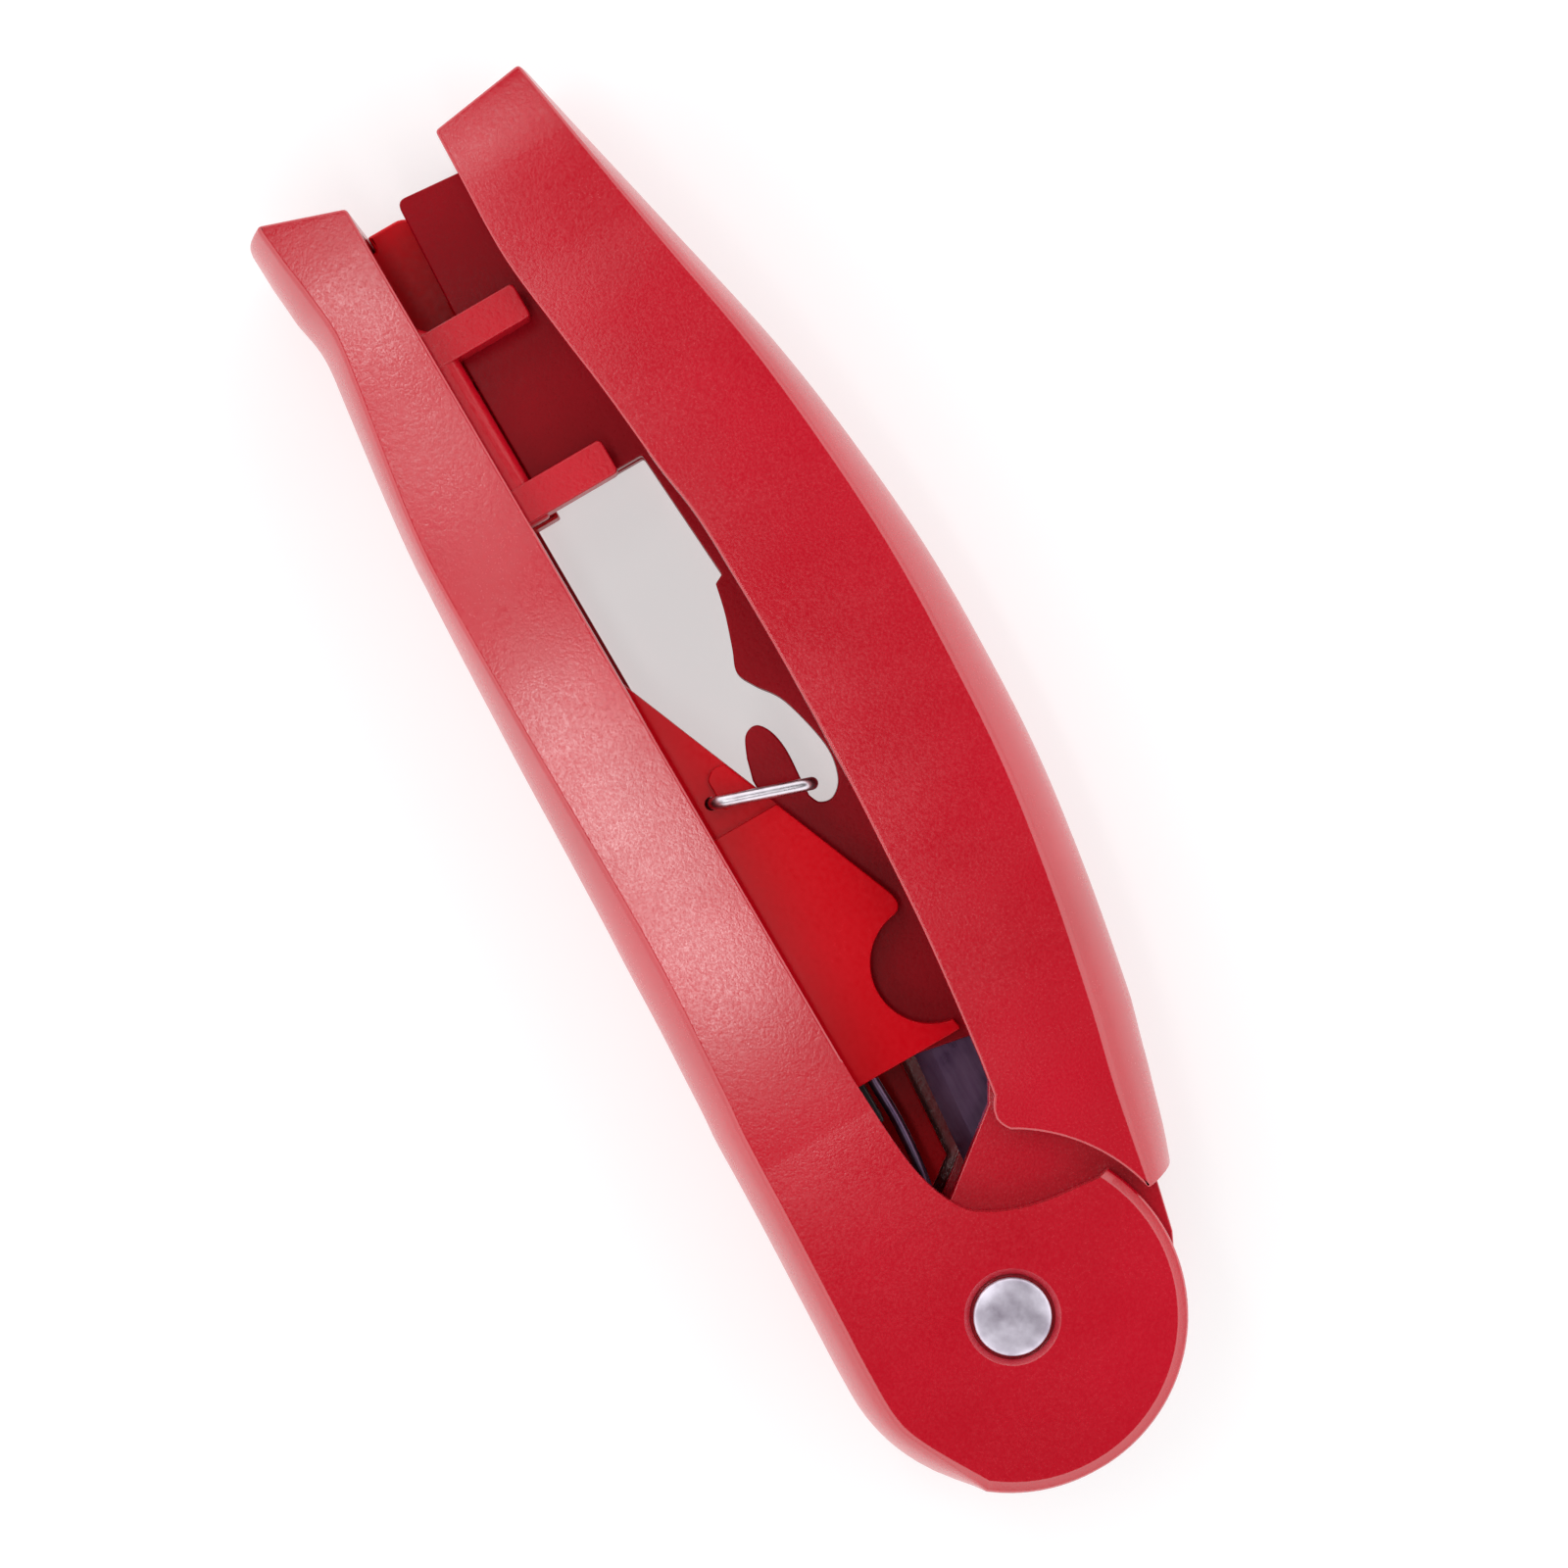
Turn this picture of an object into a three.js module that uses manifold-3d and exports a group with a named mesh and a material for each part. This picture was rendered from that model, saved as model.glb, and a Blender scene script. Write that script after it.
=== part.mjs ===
// Hand squeeze cutter for soft hose and tubing: two hinged channel-section handles, a blade carrier
// that closes onto a notched cradle, and a wire bail that keeps the handles shut.
// Millimetres, +Z up. The tool lies on its far side. It is drawn about the hinge axis, with -X running
// towards the free ends and +Y from the lower handle to the upper one, and the whole group is then
// moved so that the origin is under the middle of the bounding box.
import * as THREE from 'three';
import { mergeVertices } from 'three/addons/utils/BufferGeometryUtils.js';
import Module from 'manifold-3d';

const wasm = await Module();
wasm.setup();

// ---- driving dimensions -------------------------------------------------------------------------
const DEPTH = 22;                 // over the outer side faces of both handles
const WALL = 2.6;                 // side walls of the handles
const BACK = 2.4;                 // back walls of the handles
const MIDDLE = DEPTH / 2;
const CHANNEL_LOW = WALL;         // inside faces of the side walls
const CHANNEL_HIGH = DEPTH - WALL;
const GAP = 0.3;                  // between faces that rest on each other

const CLEVIS_RADIUS = 16.2;       // hinge end of the lower handle, at its side faces
const BELOW_RADIUS = 17.05;       // under the hinge, where its side faces are cut back from the round
const UPPER_ARC_RADIUS = 18.1;    // end of the upper handle's walls, clear of the clevis
const KNUCKLE_RADIUS = 11.2;
const LOWER_EDGE_Y = -1.8;        // straight inner edge of the lower handle's walls

const RIVET_SHAFT_RADIUS = 2.5;
const RIVET_HEAD_RADIUS = 3.8;
const COUNTERBORE_RADIUS = 4.65;
const COUNTERBORE_DEPTH = 1.3;
const BUSH_RADIUS = 3.3;
const SLIDE = 0.15;               // radial clearance of turning parts

const BLADE_THICKNESS = 1;
const CARRIER_THICKNESS = 2.4;
const CRADLE_LOW = 14.6;          // the front cradle plate; the rear one mirrors it
const CRADLE_HIGH = 17.4;
const LUG_LOW = 16.2;             // the upper handle's front lug; the rear one mirrors it
const LUG_HIGH = 19;

const NOTCH = [-33.3, 10.4];      // centre of the cradle's round hose notch
const NOTCH_RADIUS = 5.9;

const BAIL_PIVOT = [-57.5, -0.3];
const BAIL_END = [-54.2, 9.45];
const BAIL_WIRE_RADIUS = 0.65;
const BAIL_LEG_Z = 18.3;          // height of the front leg's centre line
const BAIL_HOLE_RADIUS = 0.95;

const SCREW_PLACES = [[-100, 14.6], [-46, 15.6], [-31, 14.6]];
const SCREW_RADIUS = 1.25;
const PIN_PLACES = [[-64, -6], [-36, -6]];
const PIN_RADIUS = 1.25;

// How far each handle's back bulges at mid depth, as [x, bulge] along the tool.
const LOWER_BULGE = [[-127, 2.3], [-119, 2.85], [-112, 2.4], [-97, 1.9], [-90, 1.8], [-70, 2.6],
  [-47, 3.4], [-36, 3.2], [-24, 2.95], [0, 2.9]];
const UPPER_BULGE = [[-128, 0.7], [-116, 1.5], [-104, 2.15], [-86, 2.9], [-62, 3.7], [-38, 4.1],
  [-20, 4.5], [-14, 4.3], [-8, 3.75], [-4, 3.2]];

const BOX_MIDDLE_X = -55.785;      // middle of the outline's bounding box, under which the origin lies
const BOX_MIDDLE_Y = 6.495;

// ---- shapes and solids --------------------------------------------------------------------------
const vec = (points) => points.map(([x, y]) => new THREE.Vector2(x, y));

const polygon = (points) => new THREE.Shape(vec(points));

const rotated = ([x, y], turn) => [
  x * Math.cos(turn) - y * Math.sin(turn),
  x * Math.sin(turn) + y * Math.cos(turn),
];

// Continues a shape along a smooth line through the points given.
function flow(shape, points, segments) {
  const start = shape.currentPoint.clone();
  const line = new THREE.SplineCurve([start, ...vec(points)]).getPoints(segments);
  line.slice(1).forEach((p) => shape.lineTo(p.x, p.y));
}

function prism(shape, low, high, curveSegments = 12, steps = 1) {
  const geometry = new THREE.ExtrudeGeometry(shape, {
    depth: high - low, bevelEnabled: false, curveSegments, steps,
  });
  return geometry.translate(0, 0, low);
}

function solid(geometry) {
  const bare = geometry.clone();
  bare.deleteAttribute('normal');
  bare.deleteAttribute('uv');
  const merged = mergeVertices(bare, 1e-4);
  return new wasm.Manifold(new wasm.Mesh({
    numProp: 3,
    vertProperties: merged.attributes.position.array,
    triVerts: new Uint32Array(merged.index.array),
  }));
}

const block = (shape, low, high, curveSegments) => solid(prism(shape, low, high, curveSegments));

function pillar(x, y, radius, low, high, curveSegments = 8) {
  const disc = new THREE.Shape().absarc(x, y, radius, 0, 2 * Math.PI, false);
  return block(disc, low, high, curveSegments);
}

const ring = (inner, outer, low, high) =>
  pillar(0, 0, outer, low, high, 12).subtract(pillar(0, 0, inner, low - 1, high + 1, 12));

const mirrored = (body) => body.mirror([0, 0, 1]).translate([0, 0, DEPTH]);

function geometryOf(manifold) {
  const mesh = manifold.getMesh();
  const geometry = new THREE.BufferGeometry();
  const places = Float32Array.from(mesh.vertProperties);
  geometry.setAttribute('position', new THREE.BufferAttribute(places, 3));
  geometry.setIndex(new THREE.BufferAttribute(Uint32Array.from(mesh.triVerts), 1));
  return geometry;
}

// Value at x on a line through [x, value] pairs.
function level(pairs, x) {
  if (x <= pairs[0][0]) return pairs[0][1];
  const next = pairs.findIndex(([place]) => place > x);
  if (next < 0) return pairs[pairs.length - 1][1];
  const [x0, v0] = pairs[next - 1];
  const [x1, v1] = pairs[next];
  return v0 + ((v1 - v0) * (x - x0)) / (x1 - x0);
}

// Prism over the whole depth with its side shifted outwards between the two side faces:
// move(x, y, inset) gives the shift at a height that lies inset inside the nearer face.
const LAYERS = [0, 1, 4, 7.5, 11, 14.5, 18, 21, 22];

function crowned(outline, curveSegments, move) {
  const steps = LAYERS.length - 1;
  const geometry = prism(outline, 0, DEPTH, curveSegments, steps);
  const place = geometry.attributes.position;
  for (let i = 0; i < place.count; i += 1) {
    const z = LAYERS[Math.round((place.getZ(i) / DEPTH) * steps)];
    const [dx, dy] = move(place.getX(i), place.getY(i), Math.min(z, DEPTH - z));
    place.setXYZ(i, place.getX(i) + dx, place.getY(i) + dy, z);
  }
  return geometry;
}

const bulge = (inset) => 1 - ((MIDDLE - inset) / MIDDLE) ** 2;

// A round bar along a path, with both ends closed.
function wire(points, radius, steps, sides) {
  const path = new THREE.CatmullRomCurve3(
    points.map((p) => new THREE.Vector3(...p)), false, 'catmullrom', 0.3,
  );
  const section = polygon(Array.from({ length: sides }, (_, k) =>
    rotated([radius, 0], (k / sides) * 2 * Math.PI)));
  return new THREE.ExtrudeGeometry(section, { steps, bevelEnabled: false, extrudePath: path });
}

// ---- materials ----------------------------------------------------------------------------------
const finish = (color, roughness, metalness) =>
  new THREE.MeshStandardMaterial({ color, roughness, metalness });

const satinRed = () => finish(0xb81226, 0.45, 0);
const glossRed = () => finish(0xb80a14, 0.3, 0);
const steel = () => finish(0xb8b4bc, 0.25, 1);
const bladeSteel = () => finish(0x5a4a58, 0.35, 1);
const blackPlastic = () => finish(0x1c1c1e, 0.5, 0);

function part(name, body, material) {
  const geometry = body.isBufferGeometry ? body : geometryOf(body);
  const mesh = new THREE.Mesh(geometry, material);
  mesh.name = name;
  return mesh;
}

// ---- lower handle -------------------------------------------------------------------------------
// The back at the side faces, from the free end to under the hinge.
const LOWER_BACK = [
  [-119, -9.2], [-114.9, -8.9], [-110.1, -9.5], [-100, -11.15], [-94, -11.95], [-88, -12.3],
  [-72, -12.4], [-48, -12.45], [-33, -13.35], [-27.9, -13.8], [-18.8, -14.15], [-8, -14.65],
];

// Outline of the side walls. The rear wall fills the space beside the blade.
function lowerOutline() {
  const shape = new THREE.Shape();
  shape.moveTo(-127.6, -9.9);
  shape.lineTo(-123.3, -9.75);
  flow(shape, LOWER_BACK, 30);
  flow(shape, [[-2, -14.9], [3, -14.8], [6.7, -13.5], [12.7, -10.05]], 8);
  shape.absarc(0, 0, CLEVIS_RADIUS, -0.213 * Math.PI, 0.885 * Math.PI, false);
  shape.lineTo(-27.5, 5.8);
  shape.lineTo(-29.5, LOWER_EDGE_Y);
  shape.lineTo(-124.8, LOWER_EDGE_Y);
  return shape;
}

// The hinge end has a rounded edge all round, and the back a bulge like the upper handle's.
function lowerShift(x, y, inset) {
  if (x > 0 || y > 2) {
    const reach = Math.max(Math.hypot(x, y), 1);
    const below = Math.min(Math.max((-4 - y) / 6, 0), 1);
    const lift = 0.85 * Math.min(inset, 1) + below * (BELOW_RADIUS - reach) * bulge(inset);
    return [(lift * x) / reach, (lift * y) / reach];
  }
  const share = Math.min(Math.max((LOWER_EDGE_Y - y) / 6, 0), 1) * bulge(inset);
  return [0, -level(LOWER_BULGE, x) * share];
}

// The channel inside the handle, open towards the upper handle and round the hinge end.
function lowerChannel() {
  const shape = new THREE.Shape();
  shape.moveTo(-122.5, -6.9);
  flow(shape, LOWER_BACK.slice(1).map(([x, y]) => [x, y + BACK]), 22);
  shape.lineTo(-3, -14.2);
  shape.absarc(0, 0, 14.4, -Math.PI / 2, -Math.PI / 6, false);
  shape.lineTo(24, -12);
  shape.lineTo(24, 24);
  shape.lineTo(-122.5, 24);
  return shape;
}

// The front wall alone is cut back between the straight edge and the hinge lug.
function lowerWindow() {
  const shape = new THREE.Shape();
  shape.moveTo(-27.8, LOWER_EDGE_Y);
  flow(shape, [[-17.6, -1.13], [-12.2, 0.65], [-9.9, 3.1], [-8.2, 7.6], [-7.4, 14]], 14);
  shape.lineTo(-8.5, 19);
  shape.lineTo(-32, 19);
  shape.lineTo(-32, LOWER_EDGE_Y);
  return shape;
}

function lowerHandleShell() {
  let body = solid(crowned(lowerOutline(), 12, lowerShift))
    .subtract(block(lowerChannel(), CHANNEL_LOW, CHANNEL_HIGH, 6))
    .subtract(block(lowerWindow(), CHANNEL_HIGH - 1, DEPTH + 1))
    .subtract(pillar(0, 0, BUSH_RADIUS + 0.1, -1, DEPTH + 1, 12))
    .subtract(pillar(0, 0, COUNTERBORE_RADIUS, -1, COUNTERBORE_DEPTH, 16))
    .subtract(pillar(0, 0, COUNTERBORE_RADIUS, DEPTH - COUNTERBORE_DEPTH, DEPTH + 1, 16));
  for (const [x, y] of PIN_PLACES) {
    body = body.subtract(pillar(x, y, PIN_RADIUS + SLIDE, -1, CHANNEL_HIGH + 1.2));
  }
  return body;
}

// Rim and two cross tabs that stand in front of the carrier when the handles close.
function frontInsert() {
  const low = 14.9;
  const high = CHANNEL_HIGH - GAP;
  const tab = (x, reach) => block(polygon([
    [x, -5], [x + 3.7, -5], [x + 3.7, reach - 1.2], [x + 3, reach - 0.3], [x + 2, reach], [x, reach],
  ]), low, high);
  const rim = polygon([[-113, -5.5], [-89.6, -9], [-89.6, 0.2], [-110, 0.2], [-113, -3]]);
  return block(rim, low, high).add(tab(-111, 8.5)).add(tab(-93.6, 8.2));
}

// Rounded cheek at the free end, behind the carrier's tongue, and the ledge that runs on from it.
function rearInsert() {
  const shape = new THREE.Shape();
  shape.moveTo(-122.1, -5.6);
  shape.lineTo(-122.1, LOWER_EDGE_Y + GAP);
  shape.lineTo(-123.8, LOWER_EDGE_Y + GAP);
  shape.lineTo(-123.8, 1.4);
  shape.absarc(-121.8, 1.4, 2, Math.PI, Math.PI / 2, true);
  shape.lineTo(-116, 3.4);
  shape.absarc(-116, 1, 2.4, Math.PI / 2, 0.17 * Math.PI, true);
  shape.lineTo(-107.5, 2.2);
  shape.lineTo(-106.4, 0.8);
  shape.lineTo(-90, 0.8);
  shape.lineTo(-90, -9);
  shape.lineTo(-113, -5.6);
  return block(shape, CHANNEL_LOW + GAP, 7.2, 4);
}

// ---- hose cradle --------------------------------------------------------------------------------
function cradleOutline() {
  const shape = new THREE.Shape();
  shape.moveTo(-73, -2.35);
  shape.lineTo(-41.6, 10.3);
  shape.quadraticCurveTo(-39.4, 11.2, -39.15, 9.6);
  shape.absarc(...NOTCH, NOTCH_RADIUS, 1.045 * Math.PI, 1.955 * Math.PI, false);
  shape.lineTo(-26.3, 9.8);
  shape.lineTo(-26.4, -9.4);
  shape.lineTo(-73, -9.4);
  return shape;
}

function pinned(plate) {
  let body = plate;
  for (const [x, y] of PIN_PLACES) {
    body = body.subtract(pillar(x, y, PIN_RADIUS + SLIDE, -1, DEPTH + 1));
  }
  return body;
}

// The front plate is lower where the bail's leg crosses it, with a raised pad at the slanted edge.
function cradlePlate() {
  const step = polygon([[-76, -12], [-54.2, -12], [-54.2, 8], [-76, 8]]);
  const pad = polygon([[-60.3, 1.3], [-59.6, 0.5], [-56.2, 0.5], [-56.2, 4.3], [-60.3, 2.7]]);
  const rib = polygon([[-68, -2.6], [-60, -3.4], [-60, -2.9], [-68, -2.1]]);
  const plate = block(cradleOutline(), CRADLE_LOW, CRADLE_HIGH)
    .subtract(block(step, CRADLE_HIGH - 0.5, CRADLE_HIGH + 1))
    .add(block(pad, CRADLE_HIGH - 1, CRADLE_HIGH - 0.2))
    .add(block(rib, CRADLE_HIGH - 1, CRADLE_HIGH - 0.1))
    .subtract(pillar(...BAIL_PIVOT, BAIL_HOLE_RADIUS, -1, DEPTH + 1));
  return pinned(plate);
}

// The rear plate mirrors the front one and runs on beside the blade.
function rearCradlePlate() {
  const extension = polygon([
    [-27, -9.4], [-27, 3], [-15.4, 2.2], [-13.9, 0.2], [-12.3, -2.2], [-11.5, -4.8], [-10.4, -9.4],
  ]);
  return mirrored(cradlePlate().add(block(extension, CRADLE_LOW, CRADLE_HIGH)));
}

// The strip that the blade's edge closes onto, clamped between the cradle plates.
function cuttingAnvil() {
  const strip = polygon([[-69, -9.4], [-69, -3.6], [-55, -1.3], [-22, -1.3], [-22, -9.4]]);
  const groove = polygon([[-52, -2.8], [-52, 0], [-24, 0], [-24, -2.8]]);
  const anvil = block(strip, DEPTH - CRADLE_LOW + GAP, CRADLE_LOW - GAP)
    .subtract(block(groove, MIDDLE - 1.1, MIDDLE + 1.1));
  return pinned(anvil);
}

const cradlePin = ([x, y]) => pillar(x, y, PIN_RADIUS, 0.3, CHANNEL_HIGH + 0.9);

// ---- latch --------------------------------------------------------------------------------------
// U-shaped wire: two legs over the cradle plates, ends turned into their holes, and a crossbar
// that lies in the carrier's hooked slot.
function latchBail() {
  const [px, py] = BAIL_PIVOT;
  const length = Math.hypot(BAIL_END[0] - px, BAIL_END[1] - py);
  const turn = Math.atan2(BAIL_END[1] - py, BAIL_END[0] - px);
  const side = (sign) => {
    const z = MIDDLE + sign * (BAIL_LEG_Z - MIDDLE);
    return [
      [0, z - sign * 3], [0, z - sign * 1.4], [0.4, z - sign * 0.4], [1.4, z],
      [length - 1.4, z], [length - 0.4, z - sign * 0.4], [length, z - sign * 1.4],
    ];
  };
  const route = [...side(1), ...side(-1).reverse()].map(([along, z]) => {
    const [x, y] = rotated([along, 0], turn);
    return [px + x, py + y, z];
  });
  return wire(route, BAIL_WIRE_RADIUS, 48, 8);
}

// ---- hinge --------------------------------------------------------------------------------------
function hingeRivet() {
  const seat = DEPTH - COUNTERBORE_DEPTH + 0.1;
  const profile = vec([
    [0, 0.1], [3, 0.1], [3.2, 0.3], [3.2, 0.6], [RIVET_SHAFT_RADIUS, 0.6],
    [RIVET_SHAFT_RADIUS, seat], [RIVET_HEAD_RADIUS, seat], [RIVET_HEAD_RADIUS, seat + 0.6],
    [RIVET_HEAD_RADIUS - 0.3, seat + 0.9], [0, seat + 1.05],
  ]);
  return new THREE.LatheGeometry(profile, 28).rotateX(Math.PI / 2);
}

const rivetWasher = () =>
  ring(RIVET_SHAFT_RADIUS + 0.1, COUNTERBORE_RADIUS - 0.3, 0.7, COUNTERBORE_DEPTH - 0.1);

const hingeBush = () =>
  ring(RIVET_SHAFT_RADIUS + 0.1, BUSH_RADIUS, COUNTERBORE_DEPTH + 0.2, DEPTH - COUNTERBORE_DEPTH - 0.2);

const bladeSpacer = () =>
  ring(BUSH_RADIUS + SLIDE, 6.4, DEPTH - LUG_LOW + GAP, MIDDLE - BLADE_THICKNESS / 2 - GAP);

const springFlange = () =>
  ring(BUSH_RADIUS + SLIDE, 6.4, MIDDLE + BLADE_THICKNESS / 2 + GAP, MIDDLE + BLADE_THICKNESS / 2 + 1);

// Helical spring round the bush, with one leg along each handle.
function torsionSpring() {
  const coil = 4.8;
  const low = 13.35;
  const rise = 1.85;
  const start = -0.5 * Math.PI;
  const turned = 2.77 * Math.PI;
  const count = 12;
  const route = [[-27, -0.3, low], [-20, -0.3, low], [-13, -1.3, low], [-6, -3.9, low]];
  for (let k = 0; k <= count; k += 1) {
    const [x, y] = rotated([coil, 0], start + (turned * k) / count);
    route.push([x, y, low + (rise * k) / count]);
  }
  route.push([-3, 8.6, low + rise], [-11.5, 15, low + rise]);
  return wire(route, 0.6, 60, 6);
}

// ---- upper handle -------------------------------------------------------------------------------
// Back and inner edge at the side faces.
const UPPER_BACK = [
  [-117, 21.45], [-106, 23.35], [-94, 25.45], [-82, 26.7], [-70, 27.3], [-58, 27], [-46, 26.15],
  [-34, 24.3], [-22, 21.8], [-14.2, 19.9],
];
const UPPER_EDGE = [
  [-29.8, 10.6], [-37.5, 11.4], [-45.6, 11.95], [-53.6, 12.4], [-63.2, 12.65], [-74.2, 12.7],
  [-82.2, 12.5], [-88.4, 11.7], [-96.9, 10.9], [-104.8, 9.9], [-113.3, 9], [-121.4, 9.2],
];

function upperOutline() {
  const shape = new THREE.Shape();
  shape.moveTo(-128.6, 19.6);
  flow(shape, [...UPPER_BACK, [-4.2, 17.9]], 22);
  shape.absarc(0, 0, UPPER_ARC_RADIUS, 0.575 * Math.PI, 0.836 * Math.PI, false);
  shape.quadraticCurveTo(-16.6, 8.25, -17.4, 8.25);
  shape.quadraticCurveTo(-18.6, 8.4, -19.4, 9.2);
  shape.lineTo(-23.2, 9.8);
  flow(shape, UPPER_EDGE, 24);
  shape.lineTo(-127, 9.4);
  return shape;
}

function upperShift(x, y, inset) {
  const share = Math.min(Math.max((y - 12.5) / 6, 0), 1) * bulge(inset);
  return [0, level(UPPER_BULGE, x) * share];
}

function upperChannel() {
  const shape = new THREE.Shape();
  shape.moveTo(-124, 17.2);
  flow(shape, UPPER_BACK.map(([x, y]) => [x, y - BACK]), 18);
  shape.lineTo(-7, 17);
  shape.lineTo(-7, -6);
  shape.lineTo(-124, -6);
  return shape;
}

// Knuckle plate that passes inside the clevis to the rivet.
function lugOutline() {
  const shape = new THREE.Shape();
  shape.moveTo(-26, 12.5);
  shape.lineTo(-18.7, 8.3);
  shape.lineTo(-13.3, 1.4);
  shape.quadraticCurveTo(-12.2, 0, -11.05, -1.8);
  shape.absarc(0, 0, KNUCKLE_RADIUS, 1.06 * Math.PI, 2.02 * Math.PI, false);
  shape.lineTo(9.3, 9.4);
  shape.quadraticCurveTo(5.5, 15.8, 0.9, 17.6);
  shape.lineTo(-4.6, 18.9);
  shape.lineTo(-14, 18);
  shape.lineTo(-26, 18);
  return shape;
}

// The lug steps in from the side wall behind the wall's end.
function lug() {
  const shoulder = block(lugOutline(), LUG_HIGH - 0.5, CHANNEL_HIGH + 0.5, 6)
    .intersect(block(upperOutline(), 0, DEPTH, 6));
  return block(lugOutline(), LUG_LOW, LUG_HIGH, 6).add(shoulder);
}

function upperHandleShell() {
  let body = solid(crowned(upperOutline(), 6, upperShift))
    .subtract(block(upperChannel(), CHANNEL_LOW, CHANNEL_HIGH))
    .subtract(pillar(0, 0, UPPER_ARC_RADIUS, -1, DEPTH + 1, 24))
    .add(lug())
    .add(mirrored(lug()))
    .subtract(pillar(0, 0, BUSH_RADIUS + SLIDE, -1, DEPTH + 1, 12));
  for (const [x, y] of SCREW_PLACES) {
    body = body
      .add(pillar(x, y, 3, CHANNEL_LOW - 0.5, carrierLow() - GAP))
      .subtract(pillar(x, y, SCREW_RADIUS + SLIDE, 1.4, carrierLow()));
  }
  return body;
}

// ---- blade carrier ------------------------------------------------------------------------------
const carrierLow = () => MIDDLE - BLADE_THICKNESS / 2 - GAP - CARRIER_THICKNESS;

// Outline shared by both halves: tongue at the free end, a broad panel beside the tabs, a lobe, the
// hooked slot for the bail with its keeper finger, and the strip that backs the blade.
function carrierOutline() {
  const shape = new THREE.Shape();
  shape.moveTo(-123.3, 2.6);
  shape.lineTo(-110, 1.9);
  shape.lineTo(-108.8, 0.3);
  shape.lineTo(-90.6, 0.3);
  shape.lineTo(-90.6, 11);
  shape.lineTo(-76.5, 11.9);
  shape.lineTo(-76, 10.9);
  flow(shape, [[-73, 10.2], [-69.7, 9.1], [-67.4, 8.3], [-65.4, 9.2], [-62.6, 11], [-57, 12.3],
    [-53.6, 11.8], [-52.1, 10.4], [-52.3, 9], [-53.4, 8.4]], 26);
  flow(shape, [[-55.2, 8.5], [-58.4, 8.7], [-60.7, 8.3], [-62, 7.3], [-61.6, 5.9], [-59.6, 4.9]], 12);
  shape.lineTo(-57.4, 4.3);
  shape.lineTo(-54, 4.3);
  shape.lineTo(-52.8, 3.6);
  shape.lineTo(-26.2, 4.2);
  shape.lineTo(-24.9, 10.8);
  shape.lineTo(-25.1, 17.8);
  shape.lineTo(-36, 19.2);
  shape.lineTo(-58, 22.2);
  shape.lineTo(-84, 22);
  shape.lineTo(-108, 18.6);
  shape.lineTo(-123, 16.6);
  shape.lineTo(-123.2, 16.4);
  shape.lineTo(-124.2, 3.6);
  shape.quadraticCurveTo(-124.3, 2.7, -123.3, 2.6);
  return shape;
}

function carrierHalf(low) {
  let half = block(carrierOutline(), low, low + CARRIER_THICKNESS, 3);
  for (const [x, y] of SCREW_PLACES) {
    half = half.subtract(pillar(x, y, SCREW_RADIUS + SLIDE, -1, DEPTH + 1));
  }
  return half;
}

const frontCarrier = () => carrierHalf(MIDDLE + BLADE_THICKNESS / 2 + GAP);

const rearCarrier = () => carrierHalf(carrierLow());

// Blade: a plate turning on the hinge bush, ground from both sides to an edge along its lower side.
function blade() {
  const tip = [-48, 6.5];
  const heel = [-14.4, 3.4];
  const half = BLADE_THICKNESS / 2;
  let plate = block(polygon([
    tip, heel, [-8.5, -3.4], [-4, -5.4], [1.5, -5.6], [5, -3.2], [6, 0.8], [4, 5], [-5, 8.6],
    [-17, 15.2], [-24, 17.6], [-46, 19.2], [-49.5, 14],
  ]), MIDDLE - half, MIDDLE + half)
    .subtract(pillar(0, 0, BUSH_RADIUS + SLIDE, -1, DEPTH + 1, 12));
  const along = Math.atan2(heel[1] - tip[1], heel[0] - tip[0]);
  const ground = 1.8;
  const slope = (half - 0.06) / ground;
  const wedge = polygon([[-1, 0.06 - slope], [ground, half], [ground, half + 1], [-1, half + 1]]);
  const grind = new THREE.ExtrudeGeometry(wedge, { depth: 35, bevelEnabled: false });
  grind.applyMatrix4(new THREE.Matrix4().makeBasis(
    new THREE.Vector3(-Math.sin(along), Math.cos(along), 0),
    new THREE.Vector3(0, 0, 1),
    new THREE.Vector3(Math.cos(along), Math.sin(along), 0),
  ));
  const front = solid(grind.translate(tip[0] - 1, tip[1] + 0.1, MIDDLE));
  for (const [x, y] of SCREW_PLACES.slice(1)) {
    plate = plate.subtract(pillar(x, y, SCREW_RADIUS + SLIDE, -1, DEPTH + 1));
  }
  return plate.subtract(front).subtract(mirrored(front));
}

// Pan-head screw, slotted, from the front carrier half into the boss on the rear wall.
function carrierScrew([x, y]) {
  const seat = MIDDLE + BLADE_THICKNESS / 2 + GAP + CARRIER_THICKNESS + 0.1;
  const slot = polygon([[x - 4, y - 0.3], [x + 4, y - 0.3], [x + 4, y + 0.3], [x - 4, y + 0.3]]);
  return pillar(x, y, 2.3, seat, seat + 1.4)
    .add(pillar(x, y, SCREW_RADIUS, 1.8, seat + 0.5))
    .subtract(block(slot, seat + 0.8, seat + 2));
}

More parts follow.
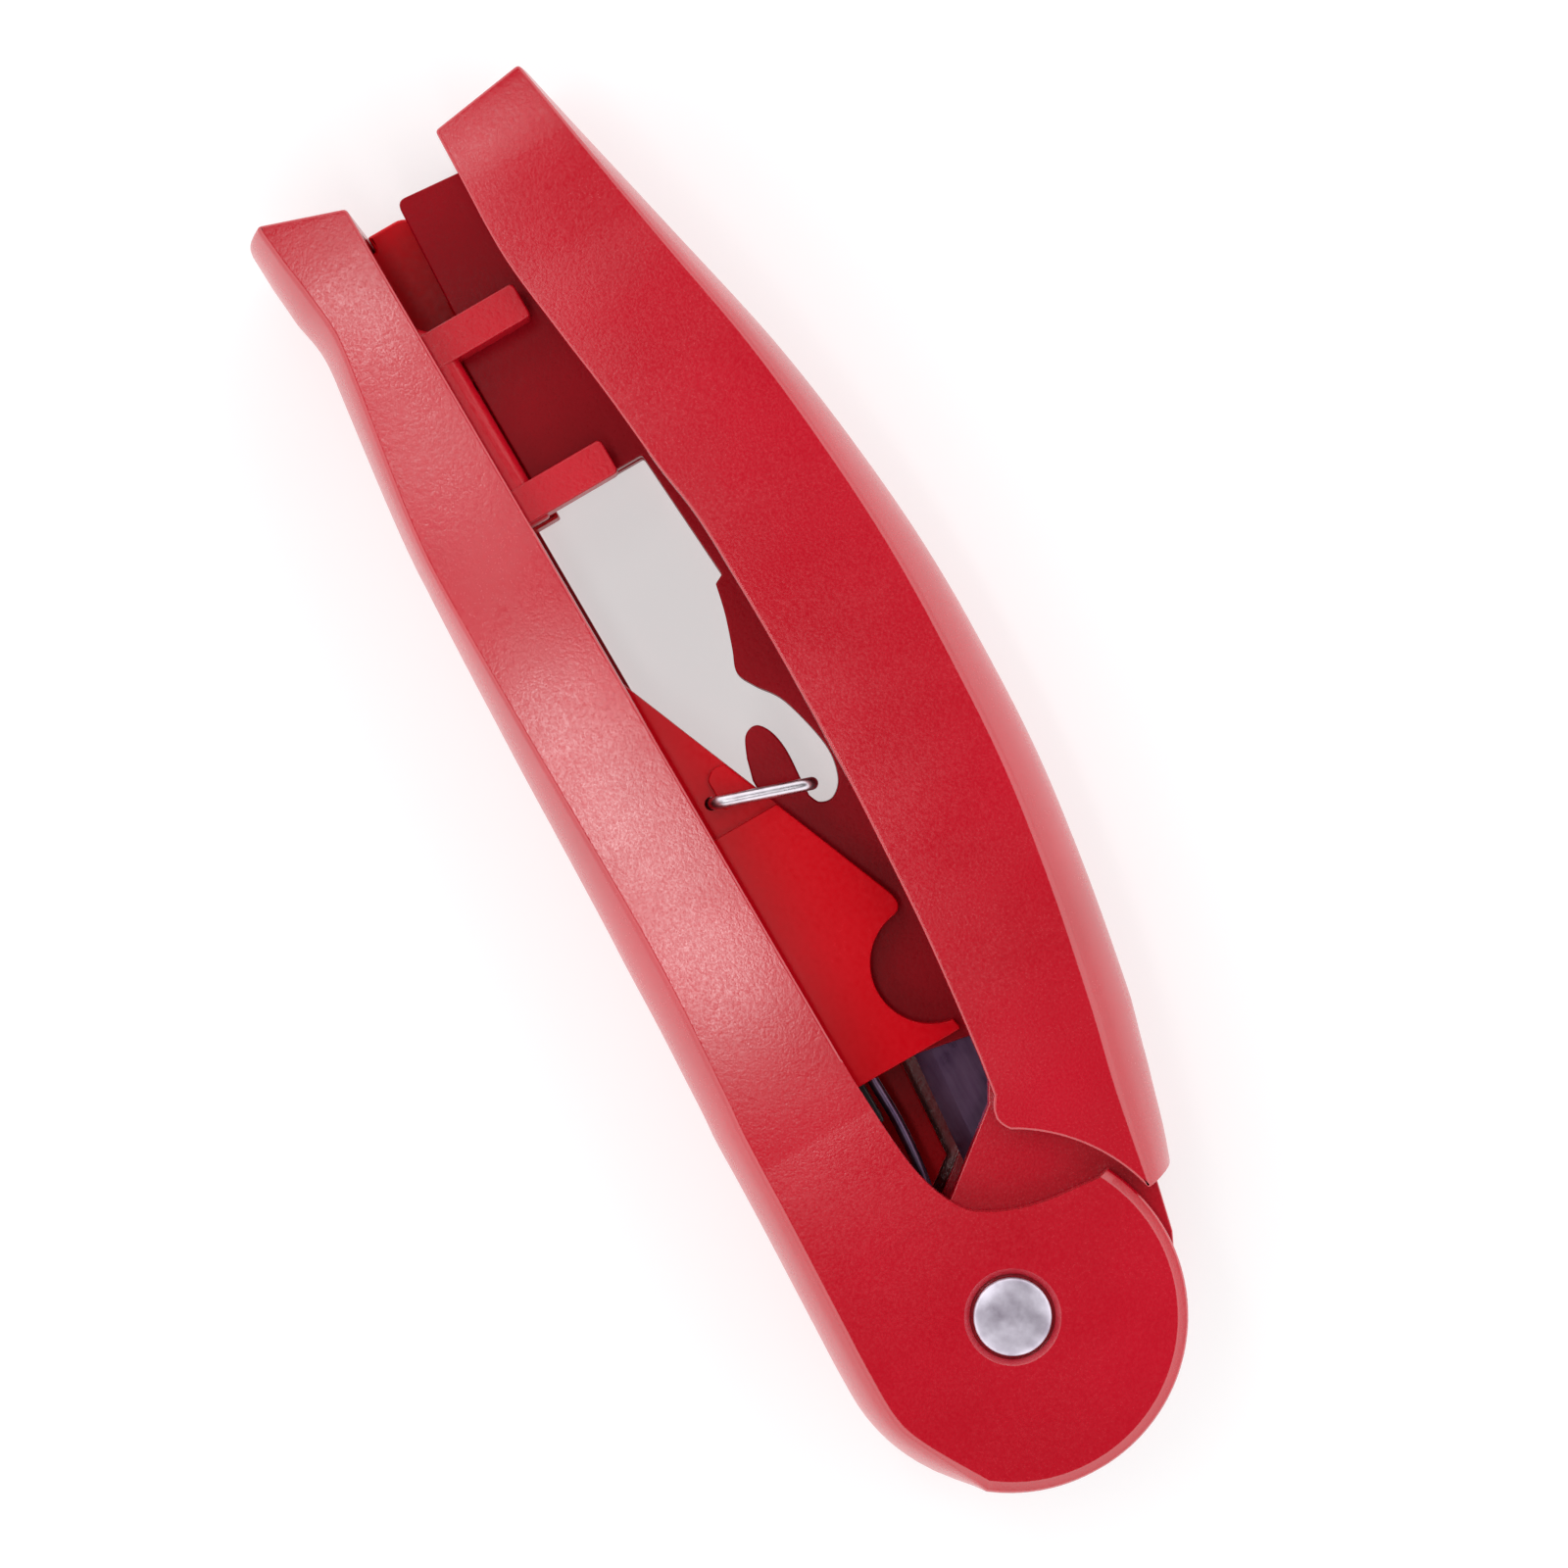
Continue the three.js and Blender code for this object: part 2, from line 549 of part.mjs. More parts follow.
// ---- assembly -----------------------------------------------------------------------------------
function lowerHandle() {
  const group = new THREE.Group();
  group.add(
    part('lower_handle_shell', lowerHandleShell(), satinRed()),
    part('lower_insert_front', frontInsert(), glossRed()),
    part('lower_insert_rear', rearInsert(), glossRed()),
    part('cradle_plate_front', cradlePlate(), glossRed()),
    part('cradle_plate_rear', rearCradlePlate(), glossRed()),
    part('cutting_anvil', cuttingAnvil(), blackPlastic()),
    part('hinge_rivet', hingeRivet(), steel()),
    part('rivet_washer', rivetWasher(), steel()),
    part('hinge_bush', hingeBush(), blackPlastic()),
    part('torsion_spring', torsionSpring(), steel()),
  );
  PIN_PLACES.forEach((place, k) => {
    group.add(part(`cradle_pin_${k + 1}`, cradlePin(place), steel()));
  });
  return group;
}

function upperHandle() {
  const group = new THREE.Group();
  group.add(
    part('upper_handle_shell', upperHandleShell(), satinRed()),
    part('blade_carrier_front', frontCarrier(), satinRed()),
    part('blade_carrier_rear', rearCarrier(), satinRed()),
    part('blade', blade(), bladeSteel()),
    part('blade_spacer', bladeSpacer(), blackPlastic()),
    part('spring_flange', springFlange(), blackPlastic()),
  );
  SCREW_PLACES.forEach((place, k) => {
    group.add(part(`carrier_screw_${k + 1}`, carrierScrew(place), steel()));
  });
  return group;
}

const tool = new THREE.Group();
tool.add(lowerHandle(), upperHandle(), part('latch_bail', latchBail(), steel()));
tool.position.set(-BOX_MIDDLE_X, -BOX_MIDDLE_Y, 0);

export default new THREE.Group().add(tool);
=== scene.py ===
"""Looks of a red plastic hand squeeze cutter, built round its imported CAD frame.

Lengths in the outlines are millimetres about the hinge axis, with -X towards the free ends, +Y from the
lower handle to the upper one and z up from the far side face; put() moves them to the frame, in metres.
"""

import math

import bmesh
import bpy
import numpy as np
from mathutils import Matrix, Vector


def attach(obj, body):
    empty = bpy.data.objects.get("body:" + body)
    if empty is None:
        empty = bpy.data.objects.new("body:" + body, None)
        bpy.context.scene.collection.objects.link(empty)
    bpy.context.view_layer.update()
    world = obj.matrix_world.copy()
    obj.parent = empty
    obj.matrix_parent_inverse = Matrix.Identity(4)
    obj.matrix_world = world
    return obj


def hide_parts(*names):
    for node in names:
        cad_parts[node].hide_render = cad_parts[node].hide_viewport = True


ORIGIN = (-55.785, 6.495, 0.0)                      # the frame's origin, seen from the hinge axis
DEPTH = 22.0                                        # from the far side face to the near one
MIDDLE = DEPTH / 2
LOW, HIGH = 2.6, 19.4                               # inside faces of the side walls
PINS = [(-64, -6), (-36, -6)]                       # cross pins of the hose cradle
SCREWS = [(-100, 14.6), (-46, 15.6), (-31, 14.6)]   # screws of the blade carrier
SMALL_HOLE = 1.4                                    # radius of the holes for pins and screws
BUSH_HOLE = 3.45                                    # radius of what turns on the hinge bush
BAIL_PIVOT, BAIL_BAR = (-57.5, -0.3), (-54.2, 9.45)
BAIL_WIRE = 0.65                                    # radius

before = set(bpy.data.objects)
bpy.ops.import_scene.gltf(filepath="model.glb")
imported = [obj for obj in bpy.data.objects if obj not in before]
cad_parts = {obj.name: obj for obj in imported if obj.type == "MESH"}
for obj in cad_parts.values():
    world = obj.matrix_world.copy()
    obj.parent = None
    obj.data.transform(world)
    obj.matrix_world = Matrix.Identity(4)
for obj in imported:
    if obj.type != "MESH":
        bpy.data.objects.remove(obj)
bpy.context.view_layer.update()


def put(x, y, z):
    return Vector(((x - ORIGIN[0]) / 1000, (y - ORIGIN[1]) / 1000, (z - ORIGIN[2]) / 1000))


def smooth(t):
    t = min(max(t, 0.0), 1.0)
    return t * t * (3 - 2 * t)


def level(pairs, x):
    """The height at x of a run of straight lines through (x, height) pairs."""
    xs, heights = zip(*pairs)
    return float(np.interp(x, xs, heights))


# ---- outlines -----------------------------------------------------------------------------------
def hermite(start, end, leaving, arriving, t):
    return ((2 * t**3 - 3 * t**2 + 1) * start + (t**3 - 2 * t**2 + t) * leaving
            + (-2 * t**3 + 3 * t**2) * end + (t**3 - t**2) * arriving)


def bezier(start, control, end, t):
    return (1 - t) ** 2 * start + 2 * t * (1 - t) * control + t * t * end


class Line:
    """A run of points made of straight, curved and smooth stretches."""

    def __init__(self, x, y):
        self.points = [(x, y)]

    def to(self, *pairs):
        self.points += list(pairs)
        return self

    def flow(self, pairs, count):
        """A smooth curve through the pairs, in count steps."""
        nodes = [self.points[-1], *pairs]
        at = np.array([nodes[0], *nodes, nodes[-1]], float)
        for k in range(1, count + 1):
            u = k / count * (len(nodes) - 1)
            i = min(int(u), len(nodes) - 2)
            before, start, end, after = at[i:i + 4]
            self.points.append(tuple(hermite(start, end, (end - before) / 2, (after - start) / 2, u - i)))
        return self

    def arc(self, cx, cy, radius, start, end, count):
        for k in range(count + 1):
            a = math.radians(start + (end - start) * k / count)
            self.points.append((cx + radius * math.cos(a), cy + radius * math.sin(a)))
        return self

    def bend(self, cx, cy, x, y):
        """A curve to (x, y) that heads for the control point (cx, cy) first."""
        steps = 6
        x0, y0 = self.points[-1]
        for k in range(1, steps + 1):
            self.points.append((bezier(x0, cx, x, k / steps), bezier(y0, cy, y, k / steps)))
        return self


def clean(points):
    """The closed outline, anticlockwise, without doubled points."""
    least = 0.02
    kept = []
    for p in points:
        if not kept or math.dist(p, kept[-1]) > least:
            kept.append((float(p[0]), float(p[1])))
    while math.dist(kept[0], kept[-1]) < least:
        kept.pop()
    area = sum(a[0] * b[1] - b[0] * a[1] for a, b in zip(kept, kept[1:] + kept[:1]))
    return kept if area > 0 else kept[::-1]


def rounded(points, radius, least=25):
    """The outline with each corner sharper than least degrees turned into an arc."""
    steps = 5
    points = clean(points)
    made = []
    for i, p in enumerate(points):
        before, corner, after = Vector(points[i - 1]), Vector(p), Vector(points[(i + 1) % len(points)])
        coming, going = corner - before, after - corner
        turn = abs(coming.angle_signed(going))
        if turn < math.radians(least):
            made.append(p)
            continue
        cut = min(radius * math.tan(turn / 2), 0.45 * coming.length, 0.45 * going.length)
        start, end = corner - coming.normalized() * cut, corner + going.normalized() * cut
        made += [tuple(bezier(start, corner, end, k / steps)) for k in range(steps + 1)]
    return clean(made)


def inset(points, amount):
    """An anticlockwise outline moved inwards by amount."""
    at = np.array(points, float)
    d = np.roll(at, -1, 0) - at
    inward = np.stack([-d[:, 1], d[:, 0]], 1) / np.linalg.norm(d, axis=1)[:, None]
    mitre = inward + np.roll(inward, 1, 0)
    scale = np.maximum((mitre * mitre).sum(1) / 2, 0.5)
    return at + mitre / scale[:, None] * amount


# ---- solids -------------------------------------------------------------------------------------
def linked(name, mesh):
    obj = bpy.data.objects.new(name, mesh)
    bpy.context.scene.collection.objects.link(obj)
    return obj


def skinned(name, rings):
    """A closed mesh over rings of points, each with as many points as the last, and a cap at each end."""
    count = len(rings[0])
    faces = [list(range(count))[::-1]]
    for k in range(len(rings) - 1):
        for i in range(count):
            j = (i + 1) % count
            faces.append([k * count + i, k * count + j, (k + 1) * count + j, (k + 1) * count + i])
    faces.append([(len(rings) - 1) * count + i for i in range(count)])
    mesh = bpy.data.meshes.new(name)
    mesh.from_pydata([put(*p) for ring in rings for p in ring], [], faces)
    return linked(name, mesh)


def loft(name, layers):
    """A solid through outlines of equal length: [(points, z), ...] from low to high."""
    return skinned(name, [[(p[0], p[1], z) for p in points] for points, z in layers])


FILLET = [(1 - math.sin(a), 1 - math.cos(a)) for a in (0, math.pi / 6, math.pi / 3, math.pi / 2)]


def prism(name, points, low, high, edge, corner):
    """An outline raised from low to high, with rounded rims of radius edge and rounded corners."""
    outline = rounded(points, corner) if corner else clean(points)
    if not edge:
        return loft(name, [(outline, low), (outline, high)])
    layers = [(inset(outline, edge * i), low + edge * h) for i, h in FILLET]
    layers += [(inset(outline, edge * i), high - edge * h) for i, h in reversed(FILLET)]
    return loft(name, layers)


def block(points, low, high, edge=0.0, corner=0.0):
    """A prism that is joined to a solid or cut from it."""
    return prism("tool", points, low, high, edge, corner)


def peg(x, y, radius, low, high, count=64):
    """A round bar along z that is joined to a solid or cut from it."""
    return block(Line(x + radius, y).arc(x, y, radius, 0, 360, count).points, low, high)


def turned(name, profile):
    """A solid of revolution about the hinge axis: profile is [(radius, z), ...] from axis to axis."""
    count = 96
    mesh = bpy.data.meshes.new(name)
    bm = bmesh.new()
    rings = []
    for r, z in profile:
        if r == 0:
            rings.append([bm.verts.new(put(0, 0, z))])
            continue
        angles = [2 * math.pi * k / count for k in range(count)]
        rings.append([bm.verts.new(put(r * math.cos(a), r * math.sin(a), z)) for a in angles])
    for a, b in zip(rings, rings[1:]):
        for k in range(count):
            j = (k + 1) % count
            if len(a) == 1:
                bm.faces.new([a[0], b[k], b[j]])
            elif len(b) == 1:
                bm.faces.new([a[j], a[k], b[0]])
            else:
                bm.faces.new([a[j], a[k], b[k], b[j]])
    bmesh.ops.recalc_face_normals(bm, faces=bm.faces)
    bm.to_mesh(mesh)
    bm.free()
    return linked(name, mesh)


ROUND_END = [(1.0, 0.35), (0.75, 0.72), (0.4, 0.93), (0.0, 1.0)]   # shares of half and of whole radius


def tube(name, path, radius, sides):
    """A round bar along close-set points, with rounded ends."""
    at = np.array(path, float)
    tangents = np.gradient(at, axis=0)
    tangents /= np.linalg.norm(tangents, axis=1)[:, None]
    side = np.cross(tangents[0], [0.3, 0.2, 1.0])
    side /= np.linalg.norm(side)
    angles = [2 * math.pi * k / sides for k in range(sides)]
    rings = []
    for i, (p, tangent) in enumerate(zip(at, tangents)):
        side = side - tangent * (side @ tangent)
        side /= np.linalg.norm(side)
        up = np.cross(tangent, side)
        stations = [(0.0, 1.0)]
        if i == 0:
            stations = [(-shift, share) for shift, share in ROUND_END]
        if i == len(at) - 1:
            stations = ROUND_END[::-1]
        for shift, share in stations:
            middle = p + tangent * shift * radius * 0.5
            rings.append([middle + radius * share * (math.cos(a) * side + math.sin(a) * up) for a in angles])
    obj = skinned(name, rings)
    bm = bmesh.new()
    bm.from_mesh(obj.data)
    bmesh.ops.recalc_face_normals(bm, faces=bm.faces)
    bm.to_mesh(obj.data)
    bm.free()
    return obj


def boolean(obj, tools, operation="DIFFERENCE"):
    for tool in tools:
        modifier = obj.modifiers.new("boolean", "BOOLEAN")
        modifier.operation = operation
        modifier.solver = "MANIFOLD"
        modifier.object = tool
    graph = bpy.context.evaluated_depsgraph_get()
    made = bpy.data.meshes.new_from_object(obj.evaluated_get(graph))
    obj.modifiers.clear()
    old = obj.data
    obj.data = made
    bpy.data.meshes.remove(old)
    for tool in tools:
        bpy.data.objects.remove(tool)
    return obj


def flipped(obj):
    """The mesh mirrored in the middle of the depth."""
    obj.data.transform(Matrix.Translation((0, 0, DEPTH / 1000)) @ Matrix.Diagonal((1, 1, -1, 1)))
    obj.data.flip_normals()
    return obj


def shaded(obj, angle):
    """Smooth shading that breaks at edges sharper than angle degrees."""
    bm = bmesh.new()
    bm.from_mesh(obj.data)
    bmesh.ops.remove_doubles(bm, verts=bm.verts, dist=2e-6)
    for e in bm.edges:
        e.smooth = len(e.link_faces) == 2 and e.calc_face_angle(0) < math.radians(angle)
    for f in bm.faces:
        f.smooth = True
    bm.to_mesh(obj.data)
    bm.free()
    modifier = obj.modifiers.new("normals", "WEIGHTED_NORMAL")
    modifier.mode = "FACE_AREA"
    modifier.weight = 100
    modifier.keep_sharp = True
    return obj


# ---- materials ----------------------------------------------------------------------------------
class Nodes:
    """A small helper round a material's node tree; its methods take and return sockets."""

    def __init__(self, name):
        self.material = bpy.data.materials.new(name)
        self.material.use_nodes = True
        self.tree = self.material.node_tree
        self.tree.nodes.clear()
        self.shader = self.add("ShaderNodeBsdfPrincipled")
        self.link(self.shader.outputs["BSDF"], self.add("ShaderNodeOutputMaterial").inputs["Surface"])
        self.place = self.add("ShaderNodeTexCoord").outputs["Object"]

    def add(self, kind, values=None):
        node = self.tree.nodes.new(kind)
        for key, value in (values or {}).items():
            node.inputs[key].default_value = value
        return node

    def link(self, source, target):
        self.tree.links.new(source, target)

    def noise(self, scale, detail, stretch=(1, 1, 1)):
        mapping = self.add("ShaderNodeMapping", {"Scale": stretch})
        node = self.add("ShaderNodeTexNoise", {"Scale": scale, "Detail": detail})
        self.link(self.place, mapping.inputs["Vector"])
        self.link(mapping.outputs["Vector"], node.inputs["Vector"])
        return node.outputs["Fac"]

    def spread(self, noise, low, high):
        """Stretches the noise's middle range to run from low to high."""
        limits = {"From Min": 0.3, "From Max": 0.7, "To Min": low, "To Max": high}
        node = self.add("ShaderNodeMapRange", limits)
        self.link(noise, node.inputs["Value"])
        return node.outputs["Result"]

    def sum(self, a, b):
        node = self.add("ShaderNodeMath")
        node.operation = "ADD"
        self.link(a, node.inputs[0])
        self.link(b, node.inputs[1])
        return node.outputs["Value"]

    def colour(self, dark, light, share):
        """Sets the base colour, between dark and light."""
        node = self.add("ShaderNodeMix")
        node.data_type = "RGBA"
        factor, a, b = (node.inputs[k] for k in (0, 6, 7))
        a.default_value = (*dark, 1)
        b.default_value = (*light, 1)
        self.link(share, factor)
        self.link(node.outputs[2], self.shader.inputs["Base Color"])

    def bump(self, height, strength, millimetres):
        node = self.add("ShaderNodeBump", {"Strength": strength, "Distance": millimetres / 1000})
        self.link(height, node.inputs["Height"])
        self.link(node.outputs["Normal"], self.shader.inputs["Normal"])


def plastic(name, dark, light, rough, grain, height, gloss=0.5):
    """Moulded plastic: grain in mm across, its height in mm, worn and handled patches."""
    n = Nodes(name)
    fine = n.noise(1000 / grain, 2.0)
    pores = n.noise(1000 / (grain * 2.6), 3.0)
    cloud = n.noise(55, 4.0)
    smear = n.noise(140, 4.0, (1.0, 0.5, 1.0))
    n.colour(dark, light, n.sum(n.spread(cloud, 0.0, 0.7), n.spread(fine, 0.0, 0.3)))
    rubbed = n.sum(n.spread(smear, -0.02, 0.03), n.spread(fine, rough - 0.05, rough + 0.06))
    n.link(rubbed, n.shader.inputs["Roughness"])
    n.bump(n.sum(fine, pores), 1.0, height)
    n.shader.inputs["Specular IOR Level"].default_value = gloss
    return n.material


def metal(name, dark, light, rough, smudge, scale, stretch=(1, 1, 1), metallic=1.0, height=0.006):
    """Drawn or ground steel: lines of the given scale, their height in mm, and smudged patches."""
    n = Nodes(name)
    lines = n.noise(scale, 4.0, stretch)
    smear = n.noise(330, 5.0)
    spots = n.noise(1500, 3.0)
    n.colour(dark, light, n.sum(n.spread(smear, 0.0, 0.6), n.spread(lines, 0.0, 0.4)))
    n.shader.inputs["Metallic"].default_value = metallic
    rubbed = n.sum(n.spread(smear, rough, rough + smudge), n.spread(spots, 0.0, 0.05))
    n.link(rubbed, n.shader.inputs["Roughness"])
    n.bump(lines, 0.6, height)
    return n.material


HANDLE = plastic("handle plastic", (0.41, 0.001, 0.01), (0.5, 0.003, 0.017), 0.21, 0.24, 0.01, 1.0)
INSERT = plastic("insert plastic", (0.42, 0.001, 0.009), (0.52, 0.003, 0.015), 0.32, 0.35, 0.035, 0.4)
INNER = plastic("smooth inner plastic", (0.52, 0.001, 0.005), (0.64, 0.002, 0.009), 0.3, 0.5, 0.004, 0.12)
CRADLE = plastic("cradle plastic", (0.48, 0.001, 0.005), (0.56, 0.002, 0.009), 0.2, 0.5, 0.003, 0.1)
# The carrier plates are the same red plastic in a darker copy: painted shade for where they sit deep inside
# the upper handle.
SHADED_CARRIER = plastic("carrier plastic painted shade", (0.28, 0.001, 0.006), (0.37, 0.002, 0.01), 0.3, 0.3, 0.01, 0.12)
BLACK = plastic("black plastic", (0.012, 0.012, 0.013), (0.02, 0.02, 0.021), 0.4, 0.3, 0.01)
RIVET = metal("rivet steel", (0.3, 0.25, 0.32), (0.84, 0.79, 0.9), 0.3, 0.14, 500, metallic=0.55)
WIRE = metal("bail wire", (0.5, 0.45, 0.5), (0.76, 0.71, 0.76), 0.22, 0.1, 1200, height=0.0012)
# The spring's dark violet is painted shade: steel made dark to look shaded where it runs through the hinge
# window.
SHADED_SPRING = metal("spring wire painted shade", (0.12, 0.07, 0.14), (0.22, 0.15, 0.24), 0.25, 0.12, 1200)
# The blade's near-black violet is painted shade: bright ground steel made dark to look shaded deep in the
# hinge window.
SHADED_BLADE = metal("blade steel painted shade", (0.09, 0.04, 0.09), (0.17, 0.1, 0.17), 0.24, 0.14, 260, (1, 8, 1))
SCREW = metal("screw steel", (0.4, 0.38, 0.4), (0.6, 0.58, 0.6), 0.25, 0.12, 1200)


def dressed(obj, material):
    obj.data.materials.clear()
    obj.data.materials.append(material)
    return obj


def piece(obj, material, body, node, angle=32):
    """Finishes a solid and lets it stand for a CAD node."""
    dressed(shaded(obj, angle), material)
    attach(obj, body)
    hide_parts(node)
    return obj


# ---- both handles -------------------------------------------------------------------------------
RIM = 0.3                                                              # radius of a side face's edge
DEPTHS = [0.35, 0.7, 1.0, 1.5, 2.2, 3.2, 4.6, 6.2, 8.0, 9.6, MIDDLE]   # below a side face


def bulge(depth):
    return 1 - ((MIDDLE - depth) / MIDDLE) ** 2


def shell(name, outline, shift):
    """A handle's outer solid: small rounded edges at both side faces, a bulged back between."""
    upper = []
    for depth in reversed(DEPTHS):
        moved = []
        for x, y in outline:
            across, along = shift(x, y, depth)
            moved.append((x + across, y + along))
        upper.append((moved, DEPTH - depth))
    upper += [(inset(outline, RIM * i), DEPTH - RIM * h) for i, h in reversed(FILLET[:-1])]
    lower = [(points, DEPTH - z) for points, z in reversed(upper[1:])]
    return loft(name, lower + upper)


def waved(obj, start, end, sink):
    """Lowers both side faces by sink(x) mm from start to end; nothing inside the walls moves."""
    step = 2.0
    bm = bmesh.new()
    bm.from_mesh(obj.data)
    for k in range(math.ceil((end - start) / step)):
        geom = bm.verts[:] + bm.edges[:] + bm.faces[:]
        place = put(start + k * step, 0, 0)
        bmesh.ops.bisect_plane(bm, geom=geom, plane_co=place, plane_no=(1, 0, 0), dist=1e-7)
    bm.to_mesh(obj.data)
    bm.free()
    for v in obj.data.vertices:
        x, z = v.co.x * 1000 + ORIGIN[0], v.co.z * 1000
        from_face = min(z, DEPTH - z)
        drop = sink(x) * smooth((LOW - from_face) / LOW)
        v.co.z += (-drop if z > MIDDLE else drop) / 1000


# ---- lower handle -------------------------------------------------------------------------------
LOWER_EDGE = -1.8
LOWER_BACK = [
    (-119, -9.2), (-114.9, -8.9), (-110.1, -9.5), (-100, -11.15), (-94, -11.95), (-88, -12.3),
    (-72, -12.4), (-48, -12.45), (-33, -13.35), (-27.9, -13.8), (-18.8, -14.15), (-8, -14.65),
]
UNDER_HINGE = [(-2, -14.9), (3, -14.8), (6.7, -13.5), (12.7, -10.05)]
LOWER_BULGE = [
    (-127, 2.3), (-119, 2.85), (-112, 2.4), (-97, 1.9), (-90, 1.8), (-70, 2.6), (-47, 3.4), (-36, 3.2),
    (-24, 2.95), (0, 2.9),
]
DISC = 16.17                   # radius of the side faces round the hinge
DISC_EDGE = 0.85               # how far the edge of those faces is rounded outwards
PLAIN_REACH = 15.05            # distance from the axis where that edge starts, under the hinge
FULL_REACH = 16.2              # and where it is complete
BACK_REACH = 17.05             # the back's distance from the axis beside the hinge
MORE_UNDER = 0.8               # and how much further out it is under the hinge


def lower_shift(x, y, depth):
    """How far a point of the outline moves outwards, at a depth below a side face."""
    if x > 0 or y > 2:
        reach = max(math.hypot(x, y), 1)
        share = min(max((reach - PLAIN_REACH) / (FULL_REACH - PLAIN_REACH), 0), 1) if y < 0 else 1
        under = min(max(-y / 9, 0), 1)
        lift = share * DISC_EDGE * math.sqrt(1 - (1 - min(depth, 1)) ** 2)
        lift += max(BACK_REACH + MORE_UNDER * under - reach - share * DISC_EDGE, 0) * bulge(depth)
        return lift * x / reach, lift * y / reach
    share = smooth((LOWER_EDGE - 1.5 - y) / 6.5)
    return 0.0, -level(LOWER_BULGE, x) * share * bulge(depth)


def lower_sink(x):
    if x >= -12:
        return 0.5
    hollow = 0.55 * smooth((-66 - x) / 34) * smooth((x + 121) / 20)
    return hollow + 0.5 * smooth((x + 44) / 26) * smooth((-10 - x) / 4)


def lower_shell():
    line = Line(-127.6, -10.0).to((-126.9, -10.1), (-123.3, -9.75))
    line.flow(LOWER_BACK, 90).flow(UNDER_HINGE, 18)
    line.arc(0, 0, DISC, -38.34, 159.3, 90).to((-27.5, 5.8), (-29.5, LOWER_EDGE), (-124.8, LOWER_EDGE))
    body = shell("lower_shell", rounded(line.points, 0.6, 40), lower_shift)
    inner = Line(-122.5, -6.9).flow([(x, y + 2.4) for x, y in LOWER_BACK[1:]], 80).to((-3, -14.2))
    inner.arc(0, 0, 14.4, -90, -30, 24).to((24, -12), (24, 24), (-122.5, 24))
    window = Line(-27.8, LOWER_EDGE)
    window.flow([(-17.6, -1.13), (-12.2, 0.65), (-9.9, 3.1), (-8.2, 7.6), (-7.4, 14)], 40)
    window.to((-8.5, 19), (-32, 19), (-32, LOWER_EDGE))
    rivet_hole, washer_seat, head_seat, head_mouth = 3.4, 4.63, 4.15, 4.75
    funnel = [(head_seat, -1.3), (head_seat, -0.6), (head_mouth, 0.05), (head_mouth, 1)]
    boolean(body, [
        block(inner.points, LOW, HIGH),
        block(window.points, HIGH - 1, DEPTH + 1),
        peg(0, 0, rivet_hole, -1, DEPTH + 1),
        peg(0, 0, washer_seat, -1, 1.3),
        loft("tool", [(clean(Line(r, 0).arc(0, 0, r, 0, 360, 96).points), DEPTH + h) for r, h in funnel]),
        *[peg(x, y, SMALL_HOLE, -1, 20.6) for x, y in PINS],
    ])
    waved(body, -126, -22, lower_sink)
    return piece(body, HANDLE, "lower", "lower_handle_shell")


def front_insert():
    """A round-backed rim along the handle with two flat cross tabs."""
    rim = [(-113, -5.5), (-89.6, -9), (-89.6, 0.2), (-110, 0.2), (-113, -3)]
    body = prism("lower_insert_front_trim", rim, 14.9, 19.0, 1.3, 0.4)
    for x, reach in ((-111, 8.5), (-93.6, 8.2)):
        tab = [(x, -3), (x + 3.7, -3), (x + 3.7, reach), (x, reach)]
        boolean(body, [block(tab, 15.0, 19.1, 0.25, 0.6)], "UNION")
    return piece(body, INSERT, "lower", "lower_insert_front")


def rear_insert():
    """The rounded cheek at the free end and the ledge beside it."""
    line = Line(-122.1, -5.6).to((-122.1, -1.75), (-123.8, -1.75), (-123.8, 1.4))
    line.arc(-121.8, 1.4, 2, 180, 90, 10).arc(-116, 1, 2.4, 90, 31, 8)
    line.to((-107.5, 2.2), (-106.4, 0.8), (-90, 0.8), (-90, -9), (-113, -5.6))
    body = prism("lower_insert_rear_trim", line.points, 2.9, 7.2, 0.4, 0.3)
    return piece(body, INNER, "lower", "lower_insert_rear")


# ---- hose cradle --------------------------------------------------------------------------------
def pin_holes():
    return [peg(x, y, SMALL_HOLE, -1, DEPTH + 1, 32) for x, y in PINS]


def cradle(name, node, rear):
    """A plate with the hose notch, the bail's step and its pad; the rear one is longer, and mirrored."""
    line = Line(-73, -2.35).to((-41.6, 10.3)).bend(-39.4, 11.2, -39.15, 9.6)
    line.arc(-33.3, 10.4, 5.9, 188.1, 351.9, 40).to((-26.3, 9.8))
    if rear:
        line.to((-26.4, 3), (-15.4, 2.2), (-13.9, 0.2), (-12.3, -2.2), (-11.5, -4.8), (-10.4, -9.4))
    else:
        line.to((-26.4, -9.4))
    line.to((-73, -9.4))
    body = prism(name, line.points, 14.6, 17.4, 0.18, 0.3)
    step = [(-76, -12), (-54.2, -12), (-54.2, 8), (-76, 8)]
    pad = [(-60.3, 1.3), (-59.6, 0.5), (-56.2, 0.5), (-56.2, 4.3), (-60.3, 2.7)]
    rib = [(-68, -2.6), (-60, -3.4), (-60, -2.9), (-68, -2.1)]
    boolean(body, [block(step, 16.9, 19, 0.12, 0.3)])
    boolean(body, [block(pad, 16.4, 17.2, 0.15, 0.5), block(rib, 16.4, 17.3, 0.1, 0.15)], "UNION")
    boolean(body, [peg(*BAIL_PIVOT, BAIL_WIRE + 0.03, 10, 20, 32), *pin_holes()])
    if rear:
        flipped(body)
    return piece(body, INNER if rear else CRADLE, "lower", node)


